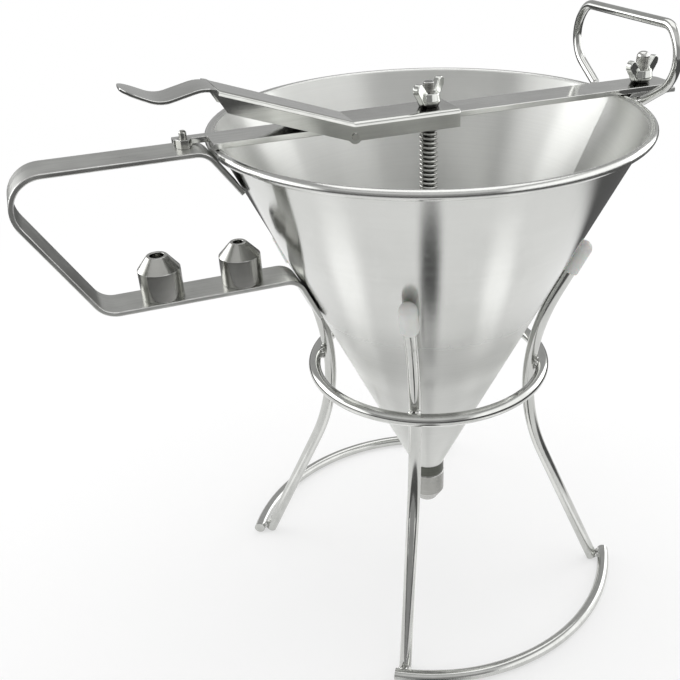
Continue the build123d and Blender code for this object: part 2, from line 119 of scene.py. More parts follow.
def mix(tree, share, first, second, kind="FLOAT"):
    """A blend of two numbers, or of two colours with the kind RGBA, by the share of the second."""
    inputs = {"Factor": share, "A": first, "B": second}
    return add_node(tree, "ShaderNodeMix", inputs, data_type=kind).outputs["Result"]


def new_group(name, kind, inputs, outputs):
    """A node group with named sockets, and the sockets of its input and output nodes."""
    tree = bpy.data.node_groups.new(name, kind)
    for way, sockets in (("INPUT", inputs), ("OUTPUT", outputs)):
        for label, socket in sockets.items():
            tree.interface.new_socket(name=label, in_out=way, socket_type="NodeSocket" + socket)
    return tree, tree.nodes.new("NodeGroupInput").outputs, tree.nodes.new("NodeGroupOutput").inputs


# Marks of use: soft smudges, and sparse fine scratches that run two ways
smudge_scale = 60.0
smudge_detail = 3.0
scratch_ways = (((0.3, 0.5, 0.2), (40, 1100, 90)), ((1.1, 0.2, 0.9), (900, 50, 60)))
scratch_ends = (0.66, 0.74)
marks_group, given, result = new_group(
    "handling_marks", "ShaderNodeTree", {"Vector": "Vector"}, {"Smudge": "Float", "Scratch": "Float"}
)
smudge = noise(marks_group, given["Vector"], smudge_scale, smudge_detail)
marks_group.links.new(smudge, result["Smudge"])
scratches = []
for turn, stretch in scratch_ways:
    mapping = {"Vector": given["Vector"], "Rotation": turn, "Scale": stretch}
    turned_way = add_node(marks_group, "ShaderNodeMapping", mapping).outputs[0]
    hair = noise(marks_group, turned_way, scale=1.0, detail=1.0)
    scratches.append(ramp(marks_group, hair, scratch_ends))
marks_group.links.new(calc(marks_group, "MAXIMUM", *scratches), result["Scratch"])

# Lines of drawing, brushing and rolling: noise that is dense across the lines only
line_detail = 4.0
line_breaks = 0.65
line_inputs = {"Vector": "Vector", "Density": "Vector"}
lines_group, given, result = new_group("drawn_lines", "ShaderNodeTree", line_inputs, {"Line": "Float"})
spread = vector_calc(lines_group, "MULTIPLY", given["Vector"], given["Density"])
streak = noise(lines_group, spread, scale=1.0, detail=line_detail, roughness=line_breaks)
lines_group.links.new(streak, result["Line"])

# Worn edges: the eased edges that a piece marks in its own attribute, a little broken up, are lightened for
# wear and as a painted highlight
wear_and_highlight_scale = 400.0
wear_and_highlight_group, given, result = new_group(
    "edge_wear_and_highlight", "ShaderNodeTree", {"Vector": "Vector"}, {"Wear And Highlight": "Float"}
)
edge_mark = add_node(wear_and_highlight_group, "ShaderNodeAttribute", attribute_name="eased_edge").outputs["Fac"]
patches = noise(wear_and_highlight_group, given["Vector"], wear_and_highlight_scale)
wear_and_highlight_group.links.new(calc(wear_and_highlight_group, "MULTIPLY", edge_mark, patches), result["Wear And Highlight"])

# A finish reads its tone and its gloss off one shade, made of the lines and the smudges
shade_least = 0.1
tone_ends = (0.2, 0.5)
gloss_ends = (0.15, 0.55)
# Painted highlight: worn edges are lightened to this tone, for wear and for the bright lines that light
# draws along them
worn_and_highlight_tone = (0.78, 0.78, 0.77, 1)
scratch_dulling = 0.015
scratch_depth = -0.03
relief_distance = 0.2 * mm


def empty_tree(owner):
    """The node tree of a material or a world, emptied."""
    owner.use_nodes = True
    owner.node_tree.nodes.clear()
    return owner.node_tree


def metal(name, tones, roughness, lines, density, relief, centre=(0, 0, 0), anisotropy=0.0):
    """A metal finish: lines of the making, marks of use, and worn edges lightened for wear and as a painted
    highlight.

    tones and roughness are (low, high). lines is the group that draws the marks of the making,
    with a density per metre about a centre, and relief is how strongly they catch the light.
    """
    material = bpy.data.materials.new(name)
    tree = empty_tree(material)
    place = coordinates(tree)
    mapping = {"Vector": place, "Location": [-c for c in centre]}
    making = {"Vector": add_node(tree, "ShaderNodeMapping", mapping).outputs[0], "Density": density}
    line = add_node(tree, "ShaderNodeGroup", making, node_tree=lines).outputs["Line"]
    marks = add_node(tree, "ShaderNodeGroup", {"Vector": place}, node_tree=marks_group).outputs
    # the worn edges, lightened for wear and as a painted highlight
    wear_and_highlight = add_node(tree, "ShaderNodeGroup", {"Vector": place}, node_tree=wear_and_highlight_group).outputs["Wear And Highlight"]

    shade = calc(tree, "MULTIPLY_ADD", line, marks["Smudge"], shade_least)
    low_tone, high_tone = [(*tone, 1) for tone in tones]
    body = mix(tree, ramp(tree, shade, tone_ends), low_tone, high_tone, "RGBA")
    gloss = ramp(tree, shade, gloss_ends, roughness)
    height = calc(tree, "MULTIPLY_ADD", marks["Scratch"], scratch_depth, line)
    bumps = {"Height": height, "Strength": relief, "Distance": relief_distance}
    shader = add_node(
        tree,
        "ShaderNodeBsdfPrincipled",
        {
            "Base Color": mix(tree, wear_and_highlight, body, worn_and_highlight_tone, "RGBA"),
            "Roughness": calc(tree, "MULTIPLY_ADD", marks["Scratch"], scratch_dulling, gloss),
            "Normal": add_node(tree, "ShaderNodeBump", bumps).outputs[0],
            "Metallic": 1.0,
            "Anisotropic": anisotropy,
        },
    )
    add_node(tree, "ShaderNodeOutputMaterial", {"Surface": shader.outputs[0]})
    return material


def dress(node, material):
    """A CAD node keeps its shape and takes a finish."""
    nodes[node].data.materials.clear()
    nodes[node].data.materials.append(material)


bright_rod = metal("bright_rod", rod_tones, rod_roughness, lines_group, rod_lines, rod_relief)
for node in nodes:
    if node.startswith(("stand_", "foot_arc")):
        dress(node, bright_rod)

# The weld beads: one tree strews beads on given points, each with its own turn and size
weld_bead = 1.5 * mm
weld_seed = 7
bead_facets = 3
bead_turns = ((0, 0, 0), (6.28, 6.28, 6.28))
bead_sizes = ((0.8, 0.8, 0.6), (1.25, 1.25, 0.9))
ring_bead_side = 1.9 * mm
ring_bead_rise = 1.4 * mm
foot_bead_side = 1.6 * mm
weld_tones = ((0.52, 0.52, 0.51), (0.72, 0.72, 0.7))
weld_roughness = (0.15, 0.32)
weld_lines = (900, 900, 900)
weld_metal = metal("weld_metal", weld_tones, weld_roughness, lines_group, weld_lines, relief=0.05)


def random_vector(tree, seed, corners):
    """A random vector for each point, between two corners."""
    inputs = {"Seed": seed, 0: corners[0], 1: corners[1]}
    return add_node(tree, "FunctionNodeRandomValue", inputs, data_type="FLOAT_VECTOR").outputs[0]


def end_tree(tree, geometry, material, result, smooth=True):
    """A geometry tree ends in real geometry with its material."""
    made = add_node(tree, "GeometryNodeRealizeInstances", {0: geometry}).outputs[0]
    if smooth:
        made = add_node(tree, "GeometryNodeSetShadeSmooth", {0: made}).outputs[0]
    made = add_node(tree, "GeometryNodeSetMaterial", {0: made, "Material": material}).outputs[0]
    tree.links.new(made, result["Geometry"])


bead_tree, given, result = new_group(
    "weld_beads",
    "GeometryNodeTree",
    {"Geometry": "Geometry", "Bead Radius": "Float", "Seed": "Int", "Material": "Material"},
    {"Geometry": "Geometry"},
)
bead_ball = add_node(
    bead_tree, "GeometryNodeMeshIcoSphere", {"Radius": given["Bead Radius"], "Subdivisions": bead_facets}
)
bead_set = add_node(
    bead_tree,
    "GeometryNodeInstanceOnPoints",
    {
        "Points": given["Geometry"],
        "Instance": bead_ball.outputs["Mesh"],
        "Rotation": random_vector(bead_tree, given["Seed"], bead_turns),
        "Scale": random_vector(bead_tree, given["Seed"], bead_sizes),
    },
)
end_tree(bead_tree, bead_set.outputs[0], given["Material"], result)


def new_piece(name, mesh):
    """An object of the scene with a mesh."""
    piece = bpy.data.objects.new(name, mesh)
    bpy.context.scene.collection.objects.link(piece)
    return piece


def plain_mesh(piece, material):
    """A piece's modifiers become its plain mesh, with one material."""
    bpy.context.view_layer.update()
    made = bpy.data.meshes.new_from_object(piece.evaluated_get(bpy.context.evaluated_depsgraph_get()))
    piece.modifiers.clear()
    piece.data = made
    made.name = piece.name
    made.materials.clear()
    made.materials.append(material)


def run_tree(piece, tree, material, sizes):
    """A geometry tree makes a piece's plain mesh, with its named inputs set before it is evaluated."""
    modifier = piece.modifiers.new(tree.name, "NODES")
    modifier.node_group = tree
    values = {**sizes, "Material": material}
    for item in tree.interface.items_tree:
        if item.in_out == "INPUT" and item.name in values:
            modifier[item.identifier] = values[item.name]
    plain_mesh(piece, material)


def weld_beads(name, points):
    """Weld beads on points, as one plain mesh."""
    mesh = bpy.data.meshes.new(name)
    mesh.from_pydata(points, [], [])
    piece = new_piece(name, mesh)
    run_tree(piece, bead_tree, weld_metal, {"Bead Radius": weld_bead, "Seed": weld_seed})
    return piece


weld_points = []
for number in range(leg_count):
    angle = first_leg_angle + number * math.tau / leg_count
    outward = Vector((math.cos(angle), math.sin(angle), 0))
    sideways = Vector((-math.sin(angle), math.cos(angle), 0))
    for side in (-1, 1):
        for rise in (-ring_bead_rise, ring_bead_rise):
            point = outward * ring_joint_radius + sideways * side * ring_bead_side
            weld_points.append(point + Vector((0, 0, ring_height + rise)))
        point = outward * foot_joint_radius + sideways * side * foot_bead_side
        weld_points.append(point + Vector((0, 0, foot_joint_height)))
stand_welds = weld_beads("stand_welds", weld_points)
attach(stand_welds, "stand")

# Tip caps: four soft white plastic caps pushed over the legs' upper ends.
# They are dip-moulded, so they are slightly milky, and they keep the steel of the bowl unmarked.

cap_tones = ((0.60, 0.61, 0.59, 1), (0.70, 0.71, 0.69, 1))
cap_roughness = (0.32, 0.5)
cloud_scale = 160.0
cloud_detail = 3.0
skin_scale = 2500.0
skin_bumps = {"Strength": 0.08, "Distance": 0.1 * mm}
milky_plastic = bpy.data.materials.new("milky_plastic")
tree = empty_tree(milky_plastic)
place = coordinates(tree)
cloud = noise(tree, place, cloud_scale, cloud_detail)
skin = add_node(tree, "ShaderNodeBump", {"Height": noise(tree, place, skin_scale), **skin_bumps})
shader = add_node(
    tree,
    "ShaderNodeBsdfPrincipled",
    {
        "Base Color": mix(tree, cloud, *cap_tones, "RGBA"),
        "Roughness": ramp(tree, cloud, levels=cap_roughness),
        "Normal": skin.outputs[0],
        "Subsurface Weight": 0.25,
        "Subsurface Scale": 2.0 * mm,
        "Specular IOR Level": 0.4,
    },
)
add_node(tree, "ShaderNodeOutputMaterial", {"Surface": shader.outputs[0]})
for node in nodes:
    if node.startswith("tip_cap"):
        dress(node, milky_plastic)

# Bowl: a cone of thin stainless sheet, spun over a form, with its rim rolled into a bead.
# The satin of the spinning runs round the axis, so light stands on it in streaks up the wall.

bowl_tones = ((0.63, 0.635, 0.615), (0.68, 0.685, 0.665))
bowl_rings = (1400, 0, 1400)
streak_roughness = (0.0, 0.03)
spout_roughness = 0.32
wall_roughness = 0.11
inside_roughness = 0.34
bead_roughness = 0.14
polish_heights = (140.0 * mm, 190.0 * mm)
bead_foot = 237.6 * mm
quarter_turn = 0.25


def combine(tree, x=0.0, y=0.0, z=0.0):
    """A vector of three numbers or sockets."""
    return add_node(tree, "ShaderNodeCombineXYZ", {0: x, 1: y, 2: z}).outputs[0]


def components(tree, vector):
    """The three numbers of a vector."""
    return add_node(tree, "ShaderNodeSeparateXYZ", {0: vector}).outputs


def shader_inputs(material):
    """The inputs of a metal finish's shader."""
    return next(node for node in material.node_tree.nodes if node.type == "BSDF_PRINCIPLED").inputs


# Rings of turning and spinning: noise of the distance from the axis and of the height
rings_group, given, result = new_group("turned_rings", "ShaderNodeTree", line_inputs, {"Line": "Float"})
x, y, z = components(rings_group, given["Vector"])
distance = vector_calc(rings_group, "LENGTH", combine(rings_group, x, y))
unrolled = combine(rings_group, distance, z=z)
spread = vector_calc(rings_group, "MULTIPLY", unrolled, given["Density"])
groove = noise(rings_group, spread, scale=1.0, detail=line_detail, roughness=line_breaks)
rings_group.links.new(groove, result["Line"])

spun_satin = metal(
    "spun_satin", bowl_tones, streak_roughness, rings_group, bowl_rings, relief=0.006, anisotropy=1.0
)
tree = spun_satin.node_tree
satin = shader_inputs(spun_satin)
satin["Anisotropic Rotation"].default_value = quarter_turn
round_axis = add_node(tree, "ShaderNodeTangent", direction_type="RADIAL", axis="Z")
tree.links.new(round_axis.outputs[0], satin["Tangent"])

# The outside is polished, less so towards the spout, the inside is left satin and the bead is
# burnished by its roller
normal = coordinates(tree, "Normal")
x, y, height = components(tree, coordinates(tree))
outside = ramp(tree, height, polish_heights, (spout_roughness, wall_roughness), smooth=True)
upward = components(tree, normal)[2]
wall = ramp(tree, upward, ends=(-0.1, 0.1), levels=(outside, inside_roughness))
outward = vector_calc(tree, "NORMALIZE", combine(tree, x, y))
on_roll = ramp(tree, vector_calc(tree, "DOT_PRODUCT", outward, normal), ends=(-0.8, -0.4))
on_bead = calc(tree, "MULTIPLY", calc(tree, "GREATER_THAN", height, bead_foot), on_roll)
polish = mix(tree, on_bead, wall, bead_roughness)
streaks = satin["Roughness"].links[0].from_socket
tree.links.new(calc(tree, "ADD", polish, streaks), satin["Roughness"])
dress("funnel_bowl", spun_satin)

# Spout: a turned collar soldered under the cone, with the valve's seat in it, a thread below
# and the outlet nozzle screwed on that thread.

thread_bottom, spout_neck = heights("spout_collar")
nozzle_tip, collar_bottom = heights("outlet_nozzle")
collar_radius = 8.7
collar_round = 0.5
outlet_radius = 4.4
seat_depth = 2.8
thread_radius = 6.5
thread_length = collar_bottom - thread_bottom
thread_pitch = 1.0
thread_runout = 0.5
thread_end_round = 0.3
ridge_share = 0.3
nozzle_radius = 8.9
nozzle_length = collar_bottom - nozzle_tip
nozzle_skirt = 12.2
nozzle_wall = 1.3
nozzle_land = 3.0
nozzle_bore = 6.55
nozzle_depth = 8.0
nozzle_round = 0.35
tip_round = 0.3
fine_round = 0.2
outlet_hole = 4.0
turned_tones = ((0.44, 0.44, 0.415), (0.52, 0.52, 0.495))
turned_roughness = (0.2, 0.26)
outlet_tones = ((0.27, 0.27, 0.255), (0.36, 0.36, 0.345))
outlet_roughness = (0.22, 0.3)
# The collar's near-black tone is painted shade, for the shadow under the cone
collar_shade_tones = ((0.055, 0.058, 0.05), (0.12, 0.125, 0.11))
collar_roughness = (0.3, 0.45)
lathe_rings = (2500, 0, 2500)


def rounded_outline(corners, steps=4):
    """Corners (radius, height, round) as points (radius, height, whether the next run is round)."""
    points = []
    for i, (r, z, bend) in enumerate(corners):
        here = Vector((r, z))
        before = Vector(corners[i - 1][:2]) - here
        after = Vector(corners[(i + 1) % len(corners)][:2]) - here
        if not bend:
            points.append((r, z, False))
            continue
        half = before.angle(after) / 2
        run = bend / math.tan(half)
        centre = here + (before.normalized() + after.normalized()).normalized() * bend / math.sin(half)
        start = here + before.normalized() * run - centre
        end = here + after.normalized() * run - centre
        for step in range(steps + 1):
            spoke = start.lerp(end, step / steps).normalized() * bend
            points.append((centre.x + spoke.x, centre.y + spoke.y, step < steps))
    return points


def even_shading(piece, material):
    """A piece's plain mesh, shaded by the size of its faces up to its sharp edges."""
    evened = piece.modifiers.new("even_shading", "WEIGHTED_NORMAL")
    evened.keep_sharp = True
    plain_mesh(piece, material)


def turned(name, corners, material, place=(0, 0, 0), upside_down=False, segments=72):
    """A turned piece: an outline of corners in millimetres, spun about its axis at a place in metres."""
    axis_reach = 1e-6
    seam = 1e-7
    outline = rounded_outline(corners)
    shape = bmesh.new()
    rims = []
    for r, z, _ in outline:
        rim = []
        for step in range(segments):
            angle = 2 * math.pi * step / segments
            rim.append(shape.verts.new((r * mm * math.cos(angle), r * mm * math.sin(angle), z * mm)))
        rims.append(rim)
    mark = shape.faces.layers.float.new("eased_edge")
    for i, rim in enumerate(rims):
        following = (i + 1) % len(rims)
        # A run along the axis has no faces
        if outline[i][0] < axis_reach and outline[following][0] < axis_reach:
            continue
        for step in range(segments):
            after = (step + 1) % segments
            face = shape.faces.new((rim[step], rim[after], rims[following][after], rims[following][step]))
            face[mark] = 1.0 if outline[i][2] else 0.0
            face.smooth = True
    bmesh.ops.remove_doubles(shape, verts=shape.verts, dist=seam)
    bmesh.ops.recalc_face_normals(shape, faces=shape.faces)
    mesh = bpy.data.meshes.new(name)
    shape.to_mesh(mesh)
    shape.free()
    if upside_down:
        mesh.transform(Matrix.Rotation(math.pi, 4, "X"))
    mesh.transform(Matrix.Translation(Vector(place)))
    piece = new_piece(name, mesh)
    even_shading(piece, material)
    return piece


def lathe_finish(name, tones, roughness, relief=0.004, centre=(0, 0, 0)):
    """The finish of a turned piece, with the fine rings of the lathe about the piece's axis."""
    return metal(name, tones, roughness, rings_group, lathe_rings, relief, centre)


# Screw threads: one tree winds a ridge round an axis, used wherever a piece has a thread
thread_tree, given, result = new_group(
    "screw_thread",
    "GeometryNodeTree",
    {
        "Geometry": "Geometry",
        "Radius": "Float",
        "Ridge": "Float",
        "Turns": "Float",
        "Length": "Float",
        "Place": "Vector",
        "Material": "Material",
    },
    {"Geometry": "Geometry"},
)


def winding(tree, radius, turns, height, resolution):
    """A curve that winds round the axis, with so many points to a turn."""
    inputs = {"Resolution": resolution, "Rotations": turns, "Height": height}
    inputs.update({"Start Radius": radius, "End Radius": radius})
    return add_node(tree, "GeometryNodeCurveSpiral", inputs).outputs[0]


def swept_bar(tree, path, radius, sides):
    """A bar along a path, with so many sides."""
    section = add_node(tree, "GeometryNodeCurvePrimitiveCircle", {"Resolution": sides, "Radius": radius})
    inputs = {"Curve": path, "Profile Curve": section.outputs[0], "Fill Caps": True}
    return add_node(tree, "GeometryNodeCurveToMesh", inputs).outputs[0]


ridge_path = winding(thread_tree, given["Radius"], given["Turns"], given["Length"], resolution=40)
ridge = swept_bar(thread_tree, ridge_path, given["Ridge"], sides=4)
ridge_place = {"Geometry": ridge, "Translation": given["Place"]}
ridge_there = add_node(thread_tree, "GeometryNodeTransform", ridge_place).outputs[0]
with_core = add_node(thread_tree, "GeometryNodeJoinGeometry", {0: given["Geometry"]})
thread_tree.links.new(ridge_there, with_core.inputs[0])
end_tree(thread_tree, with_core.outputs[0], given["Material"], result, smooth=False)


def thread_core(radius, pitch):
    """The radius at the foot of a thread's ridge."""
    return radius - ridge_share * pitch


def cut_thread(piece, radius, pitch, length, place, material):
    """A turned piece gets a thread, sized in millimetres, from a place in metres upwards."""
    sizes = {
        "Radius": thread_core(radius, pitch) * mm,
        "Ridge": ridge_share * pitch * mm,
        "Turns": length / pitch,
        "Length": length * mm,
        "Place": place,
    }
    run_tree(piece, thread_tree, material, sizes)


turned_steel = lathe_finish("turned_steel", turned_tones, turned_roughness)
outlet_steel = lathe_finish("outlet_steel", outlet_tones, outlet_roughness)
# Painted shade: the collar's finish is near black for the shadow under the cone
collar_painted_shade = lathe_finish("collar_painted_shade", collar_shade_tones, collar_roughness, relief=0.01)
core_radius = thread_core(thread_radius, thread_pitch)
ridge_length = thread_length - 2 * thread_runout
spout_collar = turned(
    "spout_collar_turned",
    [
        (outlet_radius, thread_bottom, fine_round),
        (core_radius, thread_bottom, thread_end_round),
        (core_radius, collar_bottom, 0),
        (collar_radius, collar_bottom, collar_round),
        (collar_radius, spout_neck, fine_round),
        (outlet_radius + seat_depth, spout_neck, 0),
        (outlet_radius, spout_neck - seat_depth, 0),
    ],
    collar_painted_shade,
)
ridge_foot = (0, 0, (thread_bottom + thread_runout) * mm)
cut_thread(spout_collar, thread_radius, thread_pitch, ridge_length, ridge_foot, collar_painted_shade)
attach(spout_collar, "funnel")
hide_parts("spout_collar")


def nozzle(name, hole, place, material, upside_down=False):
    """A nozzle turned from bar, drawn from its open end to its tip, which is a body by itself."""
    piece = turned(
        name + "_turned",
        [
            (nozzle_bore, 0, fine_round),
            (nozzle_radius, 0, nozzle_round),
            (nozzle_radius, nozzle_skirt, nozzle_round),
            (hole + nozzle_wall, nozzle_length, tip_round),
            (hole, nozzle_length, fine_round),
            (hole, nozzle_length - nozzle_land, 0),
            (nozzle_bore, nozzle_depth, 0),
        ],
        material,
        place,
        upside_down,
    )
    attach(piece, name)
    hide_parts(name)


nozzle("outlet_nozzle", outlet_hole, (0, 0, collar_bottom * mm), outlet_steel, upside_down=True)

# Handle: one strap of cold-rolled stainless, bent on a brake and spot-welded to the bowl at
# both ends. Its faces keep the fine lines of the rolling, and its sheared edges are eased.

strap_ease = 0.45 * mm
fine_ease = 0.25 * mm
strap_tones = ((0.47, 0.475, 0.455), (0.65, 0.655, 0.63))
strap_roughness = (0.25, 0.38)
strap_lines = (40, 1200, 60)
seam_gap = 0.001 * mm
flat_angle = math.radians(0.5)
sharp_angle = math.radians(32)
crease_angle = math.radians(50)
ease_steps = 2
fold_steps = 8
rolled_strap = metal("rolled_strap", strap_tones, strap_roughness, lines_group, strap_lines, relief=0.03)


def merged_copy(node):
    """A CAD node's shape, apart from the node and with its loose triangles joined."""
    source = nodes[node].data
    mesh = bpy.data.meshes.new(node + "_copy")
    mesh.from_pydata([v.co for v in source.vertices], [], [list(face.vertices) for face in source.polygons])
    shape = bmesh.new()
    shape.from_mesh(mesh)
    bpy.data.meshes.remove(mesh)
    bmesh.ops.remove_doubles(shape, verts=shape.verts, dist=seam_gap)
    return shape


def within(part, spot, reach):
    """Whether an edge or a face lies within reach of a spot in x and z."""
    return all(math.dist((v.co.x, v.co.z), spot) < reach for v in part.verts)


def eased_copy(node, width, material, body, is_fold=None, fold_width=0.0, bore=None, crisp=()):
    """A copy of a CAD node with its edges eased by a width, which stands for the node.

    is_fold picks the edges that are folds of the sheet, which are rounded by a width of their own.
    bore is the place in x and z and the radius of a crosswise bore, which its pin fills and which
    is closed. crisp gives spots in x and z, each with its reach, round which edges stay sharp.
    """
    shape = merged_copy(node)
    if bore:
        walls = [face for face in shape.faces if within(face, *bore)]
        bmesh.ops.delete(shape, geom=walls, context="FACES")
        bmesh.ops.edgeloop_fill(shape, edges=[edge for edge in shape.edges if edge.is_boundary])
    bmesh.ops.dissolve_limit(shape, angle_limit=flat_angle, verts=shape.verts, edges=shape.edges)
    bmesh.ops.recalc_face_normals(shape, faces=shape.faces)
    bevel = {"profile": 0.5, "affect": "EDGES"}
    if is_fold:
        folds = [edge for edge in shape.edges if is_fold(edge)]
        bmesh.ops.bevel(shape, geom=folds, offset=fold_width, segments=fold_steps, **bevel)
        shape.normal_update()
    mark = shape.faces.layers.float.new("eased_edge")
    sharp = [edge for edge in shape.edges if edge.is_manifold and edge.calc_face_angle() > sharp_angle]
    sharp = [edge for edge in sharp if not any(within(edge, *zone) for zone in crisp)]
    eased = bmesh.ops.bevel(
        shape, geom=sharp, offset=width, segments=ease_steps, clamp_overlap=False, **bevel
    )
    for face in eased["faces"]:
        face[mark] = 1.0
    shape.normal_update()
    for edge in shape.edges:
        edge.smooth = edge.is_manifold and edge.calc_face_angle() < crease_angle
    for face in shape.faces:
        face.smooth = True
    mesh = bpy.data.meshes.new(node + "_eased")
    shape.to_mesh(mesh)
    shape.free()
    piece = new_piece(node + "_eased", mesh)
    even_shading(piece, material)
    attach(piece, body)
    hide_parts(node)


eased_copy("handle_strap", strap_ease, rolled_strap, "funnel")

# The peg riveted through the strap, and the nut that the crossbar's hook grips
eased_copy("peg_nut", fine_ease, turned_steel, "funnel")
dress("handle_peg", turned_steel)

# Spare nozzles: two more of the turned nozzles, with smaller holes, each screwed on a stud
# that stands on the handle's lower run.

spare_holes = {"large_spare": 3.0, "small_spare": 2.2}
spare_stud_round = 0.4
spare_stud_outline = [
    (0, 0, 0),
    (core_radius, 0, 0),
    (core_radius, thread_length, spare_stud_round),
    (0, thread_length, 0),
]
for spare, hole in spare_holes.items():
    lo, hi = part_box(spare + "_nozzle")
    spare_place = Vector(((lo.x + hi.x) / 2, 0, lo.z))
    spare_steel = lathe_finish(spare + "_steel", turned_tones, turned_roughness, centre=spare_place)
    spare_stud = turned(spare + "_stud_turned", spare_stud_outline, spare_steel, spare_place)
    ridge_foot = spare_place + Vector((0, 0, thread_runout * mm))
    cut_thread(spare_stud, thread_radius, thread_pitch, ridge_length, ridge_foot, spare_steel)
    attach(spare_stud, "funnel")
    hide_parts(spare + "_stud")
    nozzle(spare + "_nozzle", hole, spare_place, spare_steel)

# Clamp: a bent tab of strap spot-welded under the rim opposite the handle, with an open slot
# that the clamp stud stands in. The stud's thread takes the clamp's wing nut.

clamp_place = Vector((106.5, 0, 0)) * mm
head_bottom, stud_top = heights("clamp_stud")
head_top = 240.0
head_radius = 4.5
head_round = 0.5
head_top_round = 0.3
stud_radius = 3.0
stud_round = 2.1
stud_pitch = 0.5
stud_thread_start = 1.0
stud_thread_end = 0.5
slim_segments = 48
clamp_roughness = (0.18, 0.24)
eased_copy("clamp_tab", fine_ease, rolled_strap, "funnel")

stud_core = thread_core(stud_radius, stud_pitch)
clamp_steel = lathe_finish("clamp_steel", turned_tones, clamp_roughness, centre=clamp_place)
clamp_stud = turned(
    "clamp_stud_turned",
    [
        (0, head_bottom, 0),
        (head_radius, head_bottom, head_round),
        (head_radius, head_top, head_top_round),
        (stud_core, head_top, 0),
        (stud_core, stud_top, stud_round),
        (0, stud_top, 0),
    ],
    clamp_steel,
    clamp_place,
    segments=slim_segments,
)
stud_ridge_foot = head_top + stud_thread_start
stud_ridge_length = stud_top - stud_round - stud_thread_end - stud_ridge_foot
ridge_foot = clamp_place + Vector((0, 0, stud_ridge_foot * mm))
cut_thread(clamp_stud, stud_radius, stud_pitch, stud_ridge_length, ridge_foot, clamp_steel)
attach(clamp_stud, "funnel")
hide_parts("clamp_stud")

# Hanging loop: a length of polished wire bent to an eye, with both feet welded to the rim.
# It stands behind the clamp, and its wire is drawn as bright as the stand's rod.

loop_lines = (60, 300, 300)
loop_foot_reach = 93.9 * mm
loop_foot_side = 19.0 * mm
loop_foot_height = 241.2 * mm
polished_wire = metal("polished_wire", rod_tones, rod_roughness, lines_group, loop_lines, rod_relief)
dress("hanging_loop", polished_wire)
loop_feet = [(loop_foot_reach, side * loop_foot_side, loop_foot_height) for side in (-1, 1)]
loop_welds = weld_beads("loop_welds", loop_feet)
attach(loop_welds, "funnel")

# Crossbar: a flat bar across the rim. A hook at its left end goes behind the peg's nut, and
# the clamp holds its right end. The rod slides through a hole at its middle.

bar_tones = ((0.58, 0.585, 0.565), (0.74, 0.745, 0.72))
bar_roughness = (0.1, 0.16)
drawn_bar = metal("drawn_bar", bar_tones, bar_roughness, lines_group, strap_lines, relief=0.02)
eased_copy("crossbar", fine_ease, drawn_bar, "crossbar")

# Valve: a rod with a conical plug pressed on its lower end and a collar for the spring.
# The rod's top is threaded for the dose nut.

rod_top = heights("valve_rod")[1]
rod_foot = 62.7
rod_thread_foot = 243.0
rod_top_round = 0.4
rod_thread_start = 0.4
rod_thread_end = 0.8
valve_radius = 2.5
valve_pitch = 0.8
# The rod's dark tone is painted shade: it stands for the shadow inside the spring's coils
valve_shade_tones = ((0.20, 0.20, 0.19), (0.28, 0.28, 0.265))
valve_steel_painted_shade = lathe_finish("valve_steel_painted_shade", valve_shade_tones, turned_roughness)
valve_core = thread_core(valve_radius, valve_pitch)
valve_rod = turned(
    "valve_rod_turned",
    [
        (0, rod_foot, 0),
        (valve_radius, rod_foot, fine_round),
        (valve_radius, rod_thread_foot, fine_round),
        (valve_core, rod_thread_foot, 0),
        (valve_core, rod_top, rod_top_round),
        (0, rod_top, 0),
    ],
    valve_steel_painted_shade,
    segments=slim_segments,
)
rod_ridge_foot = rod_thread_foot + rod_thread_start
rod_ridge_length = rod_top - rod_thread_end - rod_ridge_foot
ridge_foot = (0, 0, rod_ridge_foot * mm)
cut_thread(valve_rod, valve_radius, valve_pitch, rod_ridge_length, ridge_foot, valve_steel_painted_shade)
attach(valve_rod, "rod")
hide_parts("valve_rod")
dress("valve_plug", turned_steel)
dress("spring_collar", turned_steel)

# The spring: stainless wire wound round the rod between its collar and the crossbar, with one
# closed turn at each end, which climbs only a small share of the height
spring_seat, spring_top = heights("spring")
spring_radius = 3.6
spring_wire = 1.25
open_turns = 21.0
closed_turns = 2
spring_turns = open_turns + closed_turns
closed_share = 0.026
spring_tones = ((0.58, 0.58, 0.56), (0.68, 0.68, 0.66))
spring_roughness = (0.1, 0.18)
spring_lines = (700, 700, 700)
spring_tree, given, result = new_group(
    "wound_spring",
    "GeometryNodeTree",
    {
        "Geometry": "Geometry",
        "Radius": "Float",
        "Wire Radius": "Float",
        "Turns": "Float",
        "Height": "Float",
        "Foot": "Float",
        "Material": "Material",
    },
    {"Geometry": "Geometry"},
)
along = add_node(spring_tree, "GeometryNodeSplineParameter").outputs["Factor"]
pitch_curve = add_node(spring_tree, "ShaderNodeFloatCurve", {"Value": along})
curve_points = pitch_curve.mapping.curves[0].points
curve_points.new(1 / spring_turns, closed_share)
curve_points.new(1 - 1 / spring_turns, 1 - closed_share)
for point in curve_points:
    point.handle_type = "VECTOR"
pitch_curve.mapping.update()
climb = calc(spring_tree, "MULTIPLY_ADD", pitch_curve.outputs[0], given["Height"], given["Foot"])
flat_coil = winding(spring_tree, given["Radius"], given["Turns"], height=0.0, resolution=32)
climbing = {"Geometry": flat_coil, "Offset": combine(spring_tree, z=climb)}
wound = add_node(spring_tree, "GeometryNodeSetPosition", climbing).outputs[0]
wire = swept_bar(spring_tree, wound, given["Wire Radius"], sides=12)
end_tree(spring_tree, wire, given["Material"], result)

